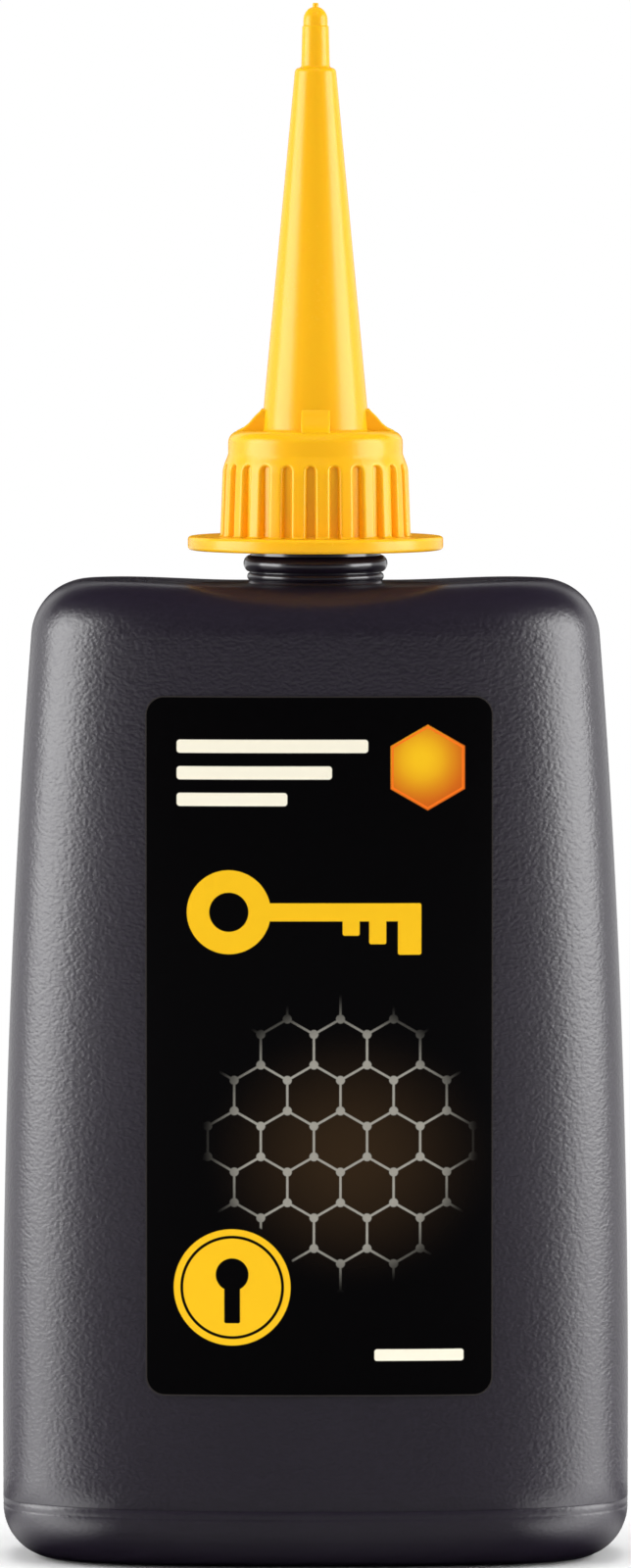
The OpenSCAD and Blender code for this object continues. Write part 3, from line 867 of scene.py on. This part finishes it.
def bottle_finish(colours):
    """Blown plastic: a fine leather grain on the faces that dies away over the shoulder and
    below the mould line, a smoother satin there and a glossy neck."""
    f = Finish("bottle_plastic", Specular_IOR_Level=0.78, IOR=1.5)
    x, y, z = f.axes()
    flanks = (z.ramp(*GRAIN_FOOT) * 0.45 + z.ramp(*GRAIN_LINE) * 0.55) * z.ramp(*GRAIN_SHOULDER)
    neck = z.ramp(*GLOSS_NECK)
    grain = f.noise(2500.0, detail=0.6, stretch=(1.0, 1.0, 1.35))
    coarse = f.noise(1500.0, detail=0.6, distortion=0.2, stretch=(1.0, 1.0, 1.25))
    broad = f.noise(60.0, detail=3.0)
    height = grain * 0.7 + coarse * 0.3
    keep = flanks * 0.86 + 0.14
    satin = 0.34 - 0.02 * (1 - flanks) - neck * 0.14
    f.set(
        Base_Color=f.mix(broad * 0.3 + grain * 0.7, tint(colours.body, 0.55), tint(colours.body, 1.45)),
        Roughness=satin + (broad - 0.5) * 0.06 + (grain - 0.5) * 0.12 * keep,
        Normal=f.bump(height * keep * (1 - neck * 0.9), 0.066 * MM, 0.9),
    )
    return f.material


def cap_finish(colours):
    """Moulded plastic: even warm yellow with a soft gloss, faint flow marks and a very fine
    skin, letting a little light through at its thin edges."""
    f = Finish("cap_plastic", Specular_IOR_Level=0.32, IOR=1.5, Subsurface_Weight=0.18,
               Subsurface_Radius=(1.0, 0.45, 0.08), Subsurface_Scale=1.6 * MM)
    flow = f.noise(110.0, detail=3.0, distortion=0.4, stretch=(1.0, 1.0, 0.35))
    fine = f.noise(2600.0, roughness=0.6)
    f.set(
        Base_Color=f.mix(flow, tint(colours.cap, 0.965), tint(colours.cap, 1.03)),
        Roughness=0.26 + (flow - 0.5) * 0.06 + (fine - 0.5) * 0.05,
        Normal=f.bump(fine, 0.012 * MM, 0.5),
    )
    return f.material


def disc(x, z, mid_x=0.0, mid_z=0.0):
    """Distance from a point."""
    return ((x - mid_x) ** 2.0 + (z - mid_z) ** 2.0).sqrt()


def slab(x, z, mid_x, mid_z, half_x, half_z, corner=0.0):
    """Signed distance to a rectangle with rounded corners, negative inside."""
    dx = abs(x - mid_x) - (half_x - corner)
    dz = abs(z - mid_z) - (half_z - corner)
    outside = (dx.most(0.0) ** 2.0 + dz.most(0.0) ** 2.0).sqrt()
    return outside + dx.most(dz).least(0.0) - corner


def six_sides(x, z):
    """Distance from the middle to a hexagon with upright sides through a point: the furthest
    of its three pairs of sides."""
    x, z = abs(x), abs(z)
    return x.most(x * 0.5 + z * (math.sqrt(3) / 2))


def lattice(x, z, pitch):
    """Distance to the nearest bond and to the nearest corner of a honeycomb, over its pitch:
    the point is folded into the nearer of two staggered cells."""
    tall = math.sqrt(3)
    u, v = x / pitch, z / pitch
    ax, az = u.part() - 0.5, (v / tall).part() * tall - tall / 2
    bx, bz = (u + 0.5).part() - 0.5, ((v + tall / 2) / tall).part() * tall - tall / 2
    second = (ax * ax + az * az).over(bx * bx + bz * bz)
    cx, cz = abs(ax + (bx - ax) * second), abs(az + (bz - az) * second)
    corner = disc(cx, cz, 0.0, 1 / tall).least(disc(cx, cz, 0.5, 0.5 / tall))
    return (0.5 - six_sides(cx, cz)) * pitch, corner * pitch


def ink(distance, soft=SOFT_EDGE):
    """1 inside a printed shape and 0 outside it, with an edge as soft as print is."""
    return distance.ramp(soft, -soft)


def nearest(first, *others):
    """Least of several distances: their shapes printed as one."""
    for other in others:
        first = first.least(other)
    return first


def key_motif(x, z, mid_x, mid_z, size):
    """Signed distance to a plain key lying flat: a ring, a shaft and three teeth."""
    u, v = (x - mid_x) / size, (z - mid_z) / size
    ring = abs(disc(u, v, -7.6, 0.0) - 2.9) - 1.05
    shaft = slab(u, v, 3.3, 0.0, 7.2, 0.85, 0.2)
    teeth = [slab(u, v, place, -drop, half, drop, 0.2)
             for place, drop, half in ((9.4, 2.0, 1.1), (6.4, 1.5, 0.8), (3.9, 1.1, 0.8))]
    return nearest(ring, shaft, *teeth) * size


def film_finish(name, sizes, colours, box, draw):
    """Printed film: black with a soft gloss, the layers of print that draw() gives, and a
    thin paler line where its edge was cut."""
    f = Finish(name, Specular_IOR_Level=0.08, IOR=1.5)
    x, y, z = f.axes()
    low, high = (corner / MM for corner in box)
    middle, half = (low + high) / 2, (high - low) / 2
    x = x - middle.x
    fibre = f.noise(900.0)
    shade = f.mix(fibre, tint(colours.film, 0.8), tint(colours.film, 1.2))
    layers, printed = draw(x, z, colours)
    for share, layer in layers:
        shade = f.mix(share, shade, layer)
    cut = slab(x, z, 0.0, middle.z, half.x, half.z, sizes.label_corner / MM).ramp(-0.16, -0.04)
    f.set(
        Base_Color=f.mix(cut, shade, CUT_COLOUR),
        Roughness=0.24 + printed * 0.08 + cut * 0.25 + (fibre - 0.5) * 0.04,
        Normal=f.bump(fibre * 0.4 + printed * 0.6, 0.008 * MM, 0.6),
    )
    return f.material


def front_print(x, z, colours):
    """Layers of the front's print, each a share and its colour, and where they stand up: a
    warm haze behind a pale honeycomb of bonds and atoms, a yellow key, an orange hexagon
    over cream bars, and a yellow disc with a keyhole."""
    haze = disc(x * 0.9, z, *HAZE_PLACE).ramp(HAZE_RADIUS, 0.0)
    badge = disc(x, z, *BADGE_PLACE)
    bond, atom = lattice(x - COMB_PLACE[0], z - COMB_PLACE[1], COMB_PITCH)
    reach = disc(x * 1.08, z, *COMB_MIDDLE).ramp(*COMB_FADE) * badge.ramp(*BADGE_CLEAR)
    comb = ink(bond - 0.11).most(ink(atom - 0.42, 0.06)) * reach
    key = ink(key_motif(x, z, *FRONT_KEY))
    side = six_sides(x - GEM_PLACE[0], z - GEM_PLACE[1]) - GEM_APOTHEM
    gem = ink(side)
    heat = disc(x, z, *GEM_LIGHT).ramp(0.3, 4.6)
    bars = ink(nearest(*(slab(x, z, *bar) for bar in FRONT_BARS)))
    spot = ink(badge - BADGE_RADIUS)
    hole = (disc(x, z, *KEYHOLE_PLACE) - KEYHOLE_RADIUS).least(slab(x, z, *KEYHOLE_SLOT))
    ring = abs(badge - BADGE_RING) - 0.14
    layers = (
        (haze * 0.7, HAZE_COLOUR),
        (comb * 0.62, COMB_COLOUR),
        (key, colours.yellow),
        (gem, heat.nodes.mix(heat, colours.yellow, colours.orange)),
        (ink(abs(side + 0.2) - 0.09), tint(colours.orange, 1.5)),
        (bars, colours.cream),
        (spot, colours.yellow),
        (ink(hole.least(ring)), colours.film),
    )
    return layers, key.most(gem).most(bars).most(spot).most(comb)


def back_print(x, z, colours):
    """Layers of the back's print, and where they stand up: a thin cream border, ruled cream
    lines over a row of the honeycomb's cells, and a small yellow key."""
    middle = (BACK_LABEL_BOX[0].z + BACK_LABEL_BOX[1].z) / 2 / MM
    border = abs(slab(x, z, 0.0, middle, *BACK_BORDER)) - 0.13
    x = 0.0 - x
    key = ink(key_motif(x, z, *BACK_KEY))
    rules = ink(abs((z / BACK_PITCH).part() - 0.5) * BACK_PITCH - 0.12)
    rules = rules * z.ramp(35.6, 35.8) * z.ramp(62.6, 62.4) * abs(x).ramp(BACK_HALF, BACK_HALF - 0.1)
    bond, atom = lattice(x, z - BACK_ROW_Z, BACK_PITCH)
    row = ink(bond - 0.09).most(ink(atom - 0.3))
    row = row * abs(x).ramp(BACK_HALF + 0.05, BACK_HALF - 0.05) * abs(z - BACK_ROW_Z).ramp(3.1, 3.0)
    pale = (ink(border).most(rules) * 0.75).most(row * 0.5)
    return ((pale, colours.cream), (key, colours.yellow)), key.most(pale)


def foam_finish(colours):
    """Foamed liner: off-white, matt, with fine closed cells."""
    f = Finish("washer_foam", Specular_IOR_Level=0.3)
    cell = f.cells(2600.0)
    f.set(
        Base_Color=f.mix(cell, tint(colours.foam, 0.88), colours.foam),
        Roughness=0.85 + (cell - 0.5) * 0.1,
        Normal=f.bump(cell, 0.03 * MM, 0.7),
    )
    return f.material


def powder_finish(colours):
    """Graphite powder: dark grey grains with a faint metallic glint."""
    f = Finish("graphite", Specular_IOR_Level=0.5)
    grain = f.noise(5200.0, detail=3.0, roughness=0.7)
    clump = f.noise(420.0, detail=3.0)
    f.set(
        Base_Color=f.mix(grain * 0.6 + clump * 0.4, tint(colours.powder, 0.6), tint(colours.powder, 1.6)),
        Metallic=0.25 + grain * 0.3,
        Roughness=0.75 - grain * 0.25,
        Normal=f.bump(grain * 0.5 + clump, 0.06 * MM, 0.9),
    )
    return f.material


# Studio


def camera_white(nodes, level):
    """Strength of white that the camera, gloss and clear matter see as 1, and the rest as a
    level: the strongest of the three rays' flags carries it from the level up to 1."""
    seen = nodes.node("ShaderNodeLightPath", out="Is Camera Ray")
    rays = seen.socket.node.outputs
    seen = seen.most(rays["Is Glossy Ray"]).most(rays["Is Transmission Ray"])
    return nodes.node("ShaderNodeMapRange", values={"Value": seen, "To Min": level})


def make_world(level):
    """World: white to look at, which lights the object at a plain level."""
    world = bpy.data.worlds.new("studio")
    bpy.context.scene.world = world
    world.use_nodes = True
    nodes = Nodes(world.node_tree)
    background = nodes.tree.nodes["Background"].inputs
    nodes.plug(background["Strength"], camera_white(nodes, level))
    nodes.plug(background["Color"], (1.0, 1.0, 1.0))


def make_floor(level):
    """Floor: a flat disc. Near the bottle it is white paint that takes the shadow, and with
    distance it fades into the same white as the background."""
    radii = np.concatenate([np.linspace(0.01, 0.3, 12), np.geomspace(0.36, 6.0, 10)])
    path = np.stack([radii[::-1], np.zeros(len(radii))], -1)
    floor = fill("floor", *shell(turned(path, 96), end=(0, 0, 0)))
    f = Finish("floor_paint", Specular_IOR_Level=0.1, Base_Color=FLOOR_COLOUR, Roughness=0.85)
    x, y, z = f.axes()
    far = disc(x, y).ramp(40.0, 260.0)
    glow = f.node("ShaderNodeEmission", values={"Strength": camera_white(f, level)})
    f.show(f.node("ShaderNodeMixShader", values={0: far, 1: f.shader.outputs[0], 2: glow}))
    floor.data.materials.append(f.material)


def make_lamp(name, place, aim, size, radiance):
    """Soft rectangular lamp that faces its aim. A lamp of one watt shines with one over pi
    and its area, so the power for a radiance is that turned round."""
    data = bpy.data.lights.new(name, "AREA")
    data.shape = "RECTANGLE"
    data.size, data.size_y = size
    data.energy = radiance * math.pi * data.size * data.size_y
    lamp = bpy.data.objects.new(name, data)
    lamp.location = place
    lamp.rotation_euler = (Vector(aim) - Vector(place)).to_track_quat("-Z", "Y").to_euler()
    lamp.visible_camera = False
    bpy.context.scene.collection.objects.link(lamp)
    return lamp


def make_lamps():
    """Lamps: a tall one at either side, whose bands run down the bottle, and one above in
    front and behind, which gloss doesn't show."""
    x, y, z = SIDE_PLACE
    for name, side in (("side_left", -1), ("side_right", 1)):
        make_lamp(name, (side * x, y, z), SIDE_AIM, SIDE_SIZE, SIDE_RADIANCE)
    x, y, z = TOP_PLACE
    for name, side in (("top_front", -1), ("top_back", 1)):
        lamp = make_lamp(name, (x, side * y, z), TOP_AIM, TOP_SIZE, TOP_RADIANCE)
        lamp.visible_glossy = False


def glowing(thing, share, strength):
    """Makes a stage piece one that only reflections show, as flags and cards out of view
    are, with a light of its own, from none at share 0 to the full strength at share 1."""
    f = share.nodes
    shine = f.mix(share, (0.0, 0.0, 0.0), (1.0, 1.0, 1.0))
    f.show(f.node("ShaderNodeEmission", values={"Color": shine, "Strength": strength}))
    f.tree.nodes.remove(f.shader)
    thing.data.materials.append(f.material)
    thing.visible_camera = thing.visible_diffuse = thing.visible_shadow = thing.visible_transmission = False


def glow_card(edges):
    """Shell of a glowing card that paints reflections: quads between level edges, each given by one
    end and mirrored in X for the other."""
    points = np.stack([edges, np.multiply(edges, (-1, 1, 1))], 1).reshape(-1, 3)
    quads = 2 * np.arange(len(edges) - 1)[:, None] + (0, 1, 3, 2)
    return points, quads.ravel(), np.full(len(quads), 4)


def make_flag(level):
    """Dark flags as black plastic is shot with, made as glowing cards that only reflections show
    and that paint the bottle's reflections: one that hangs behind the camera and runs over the
    bottle, one that lies in front of it, and a narrow one that stands behind it. Their painted
    glow darkens with height, and grows paler to both sides on the floor."""
    flag = fill("flag", *joined([glow_card(edges) for edges in (FLAG_OVER, FLAG_FRONT, FLAG_BACK)]))
    x, y, z = Finish("flag_painted_reflection").axes()
    away = disc(x, y)
    side = (abs(x) / away).ramp(0.25, 0.65) * away.ramp(1500.0, 700.0)
    # painted reflection: the bottle's faces reflect this glow, which is brightest low down and to the sides
    # and dark above
    glowing(flag, (side * FLAG_SIDES + 1.0) * z.ramp(40.0, -10.0) * level + FLAG_DARK, 1.0)


def make_sheet(sizes, glow, front):
    """Glowing sheet on the floor round the bottle that only reflections show, which paints
    reflections on the bottle's lower sides: dim in front, dark under the base as painted shade,
    white behind, and glowing at both sides, where it paints the side lamps' bands down to the
    bottle's base, a little less so next to the base's ends. Its inner edge follows the base, and
    it widens to a circle."""
    turn = full_turn(96)
    ux, uy = unit_section(turn)
    share = np.linspace(1, 0, 12)[:, None] ** 2
    half_w, half_d = sizes.body_width / 2, sizes.body_depth / 2
    x = (1 - share) * (half_w - sizes.base_width) * ux + share * SHEET_RADIUS * np.cos(turn)
    y = (1 - share) * (half_d - sizes.base_width) * uy + share * SHEET_RADIUS * np.sin(turn)
    sheet = fill("sheet", *shell(np.stack([x, y, np.full_like(x, SHEET_Z)], -1)))
    x, y, z = Finish("sheet_glow").axes()
    # painted highlight: glowing strips at both sides, which the base reflects as the side lamps' bands
    side = (abs(x) / disc(x, y)).ramp(0.7, 0.98) * abs(x).ramp(20.0, 27.0) * y.ramp(14.0, -12.0)
    base = slab(x, y, 0.0, 0.0, half_w / MM, half_d / MM, SHEET_CORNER)
    # painted shade: less glow next to the base's ends
    end = y.ramp(-16.0, -7.0) * base.ramp(26.0, 5.0)
    side = side * (1.0 - end * SHEET_END)
    behind = y.ramp(-4.0, 50.0) * (1 / glow)
    # painted shade: no glow under and next to the base
    glowing(sheet, behind.most(side).most(front / glow) * base.ramp(-3.6, 5.0), glow)


def make_camera():
    """Camera at the photograph's viewing angle."""
    data = bpy.data.cameras.new("camera")
    data.sensor_width, data.lens = SENSOR, CAMERA_LENS
    data.clip_start, data.clip_end = 0.01, 50
    camera = bpy.data.objects.new("camera", data)
    camera.location = CAMERA_PLACE
    camera.rotation_euler = (CAMERA_AIM - CAMERA_PLACE).to_track_quat("-Z", "Y").to_euler()
    bpy.context.scene.collection.objects.link(camera)
    bpy.context.scene.camera = camera


# Operators


def place_piece(piece, material, node, body):
    """Gives a finished piece its material and body, and hides the CAD node it stands in for."""
    piece.data.materials.append(material)
    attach(piece, body)
    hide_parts(node)


def build(scene, shape, finish, node, body):
    """Makes one piece from the scene's sizes and colours, and gives it its place."""
    place_piece(shape(scene.bottle_sizes), finish(scene.bottle_colours), node, body)


class BuildBottle(bpy.types.Operator):
    """Builds the blown bottle with its neck and thread"""

    bl_idname = "lockbottle.bottle"
    bl_label = "Bottle"

    def execute(self, context):
        build(context.scene, make_bottle, bottle_finish, "bottle", "bottle")
        return {"FINISHED"}


class BuildCap(bpy.types.Operator):
    """Builds the spout cap with its ribs, flange, gussets and closed tip"""

    bl_idname = "lockbottle.cap"
    bl_label = "Spout cap"

    def execute(self, context):
        build(context.scene, make_cap, cap_finish, "spout_cap", "cap")
        return {"FINISHED"}


class BuildWasher(bpy.types.Operator):
    """Builds the foam washer that seals the neck"""

    bl_idname = "lockbottle.washer"
    bl_label = "Sealing washer"

    def execute(self, context):
        build(context.scene, make_washer, foam_finish, "sealing_washer", "washer")
        return {"FINISHED"}


class BuildLabels(bpy.types.Operator):
    """Builds the front and back labels with their generic print"""

    bl_idname = "lockbottle.labels"
    bl_label = "Labels"

    def execute(self, context):
        sizes, colours = context.scene.bottle_sizes, context.scene.bottle_colours
        front = make_label("label_front", sizes, LABEL_BOX, -1)
        finish = film_finish("label_film", sizes, colours, LABEL_BOX, front_print)
        place_piece(front, finish, "front_label", "bottle")
        back = make_label("label_back", sizes, BACK_LABEL_BOX, 1)
        finish = film_finish("label_film_back", sizes, colours, BACK_LABEL_BOX, back_print)
        place_piece(back, finish, "back_label", "bottle")
        return {"FINISHED"}


class BuildPowder(bpy.types.Operator):
    """Builds the graphite powder inside the bottle"""

    bl_idname = "lockbottle.powder"
    bl_label = "Powder"

    def execute(self, context):
        build(context.scene, make_powder, powder_finish, "graphite_powder", "bottle")
        return {"FINISHED"}


class BuildStudio(bpy.types.Operator):
    """Builds the world, the floor, the lamps, the glowing flags and sheet that paint reflections, and the
    camera
    """

    bl_idname = "lockbottle.studio"
    bl_label = "Studio"

    def execute(self, context):
        make_world(WORLD_LEVEL)
        make_floor(WORLD_LEVEL)
        make_lamps()
        make_flag(FLAG_LEVEL)
        make_sheet(context.scene.bottle_sizes, SHEET_GLOW, SHEET_FRONT)
        make_camera()
        context.scene.view_settings.view_transform = "Standard"
        return {"FINISHED"}


STEPS = (BuildBottle, BuildCap, BuildWasher, BuildLabels, BuildPowder, BuildStudio)


class BottlePanel(bpy.types.Panel):
    """Sidebar panel with the sizes, the colours and a button for each piece"""

    bl_label = "Graphite Bottle"
    bl_idname = "VIEW3D_PT_lockbottle"
    bl_space_type = "VIEW_3D"
    bl_region_type = "UI"
    bl_category = "Bottle"

    def draw(self, context):
        for group in (context.scene.bottle_sizes, context.scene.bottle_colours):
            for name in group.__annotations__:
                self.layout.prop(group, name)
        for step in STEPS:
            self.layout.operator(step.bl_idname)


CLASSES = (BottleSizes, BottleColours, *STEPS, BottlePanel)


def register():
    for entry in CLASSES:
        bpy.utils.register_class(entry)
    bpy.types.Scene.bottle_sizes = PointerProperty(type=BottleSizes)
    bpy.types.Scene.bottle_colours = PointerProperty(type=BottleColours)


def unregister():
    del bpy.types.Scene.bottle_colours
    del bpy.types.Scene.bottle_sizes
    for entry in reversed(CLASSES):
        bpy.utils.unregister_class(entry)


def main():
    register()
    for step in STEPS:
        group, name = step.bl_idname.split(".")
        if getattr(getattr(bpy.ops, group), name)() != {"FINISHED"}:
            raise RuntimeError(f"{step.bl_idname} didn't finish")


if __name__ == "__main__":
    main()
